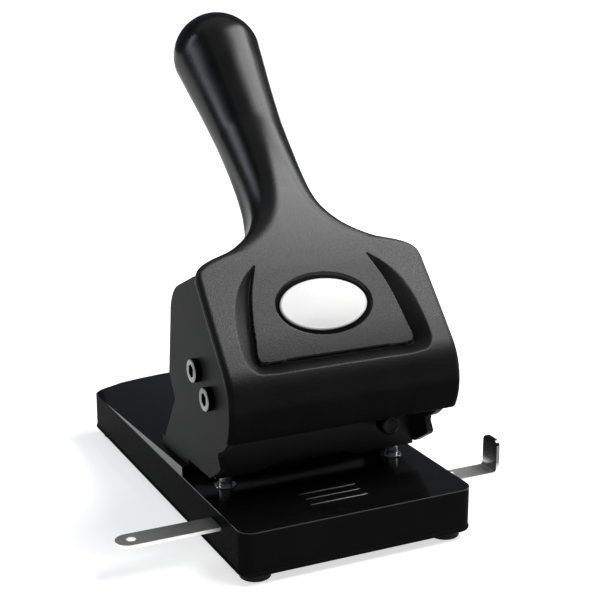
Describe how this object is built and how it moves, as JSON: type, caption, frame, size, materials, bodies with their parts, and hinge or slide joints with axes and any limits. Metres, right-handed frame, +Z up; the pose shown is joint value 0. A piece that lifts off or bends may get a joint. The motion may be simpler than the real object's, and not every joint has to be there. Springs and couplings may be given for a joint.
{
  "type": "heavy duty hole punch",
  "caption": "Heavy duty two-hole paper punch: steel base with paper table and sliding side stop, side plates, and a cast hood with a long round-ended lever.",
  "frame": {"origin": "on the surface the feet stand on, below the middle of the whole, guide bar included", "axes": "+Z up, +X to the right as seen by the user, +Y from the user to the back of the base"},
  "size_m": [0.1758, 0.19, 0.2115],
  "materials": {
    "black_steel": "gloss black enamel on pressed steel",
    "black_cast": "satin black powder coat on cast aluminium",
    "black_block": "black oxide steel",
    "steel": "ground steel",
    "bright_steel": "bright zinc plated",
    "nickel": "satin nickel plated",
    "bronze": "plain bearing bronze",
    "rubber": "matte black",
    "tray_plastic": "black moulded",
    "knob_plastic": "black",
    "badge_white": "white, bare",
    "label_foil": "black foil with light rules, bare"
  },
  "bodies": {
    "stand": {"base_shell": "black_steel", "rubber_feet": "rubber", "foot_screws": "bright_steel", "die_bushes": "bright_steel", "table_label": "label_foil", "left_side_plate": "black_steel", "right_side_plate": "black_steel", "guide_block": "black_block", "pivot_shaft": "steel", "pivot_screws": "bright_steel", "block_screws": "bright_steel", "return_springs": "steel", "guide_clips": "steel"},
    "lever": {"lever_casting": "black_cast", "lever_bushes": "bronze", "drive_rod": "steel", "badge": "badge_white"},
    "carrier": {"pin_carrier": "steel", "punch_pins": "bright_steel", "pin_screws": "bright_steel"},
    "guide": {"paper_guide": "nickel", "guide_rivet": "nickel"},
    "latch": {"lock_pin": "steel", "lock_knob": "knob_plastic"},
    "tray": {"chip_tray": "tray_plastic"}
  },
  "joints": [
    {"name": "lever_press", "type": "hinge", "parent": "stand", "child": "lever", "pos_m": [0.0076, -0.0568, 0.0664], "axis": [1, 0, 0], "range_deg": [0, 38]},
    {"name": "carrier_slide", "type": "slide", "parent": "stand", "child": "carrier", "axis": [0, 0, 1], "range_m": [0, 0.0079], "deforming": ["return_springs"]},
    {"name": "guide_slide", "type": "slide", "parent": "stand", "child": "guide", "axis": [1, 0, 0], "range_m": [-0.004, 0.036]},
    {"name": "latch_push", "type": "slide", "parent": "stand", "child": "latch", "axis": [0, 1, 0], "range_m": [0, 0.004]},
    {"name": "tray_drop", "type": "slide", "parent": "stand", "child": "tray", "axis": [0, 0, -1], "range_m": [0, 0.012]}
  ],
  "couplings": [
    {"joint": "carrier_slide", "follows": "lever_press", "m_per_rad": 0.011765}
  ]
}
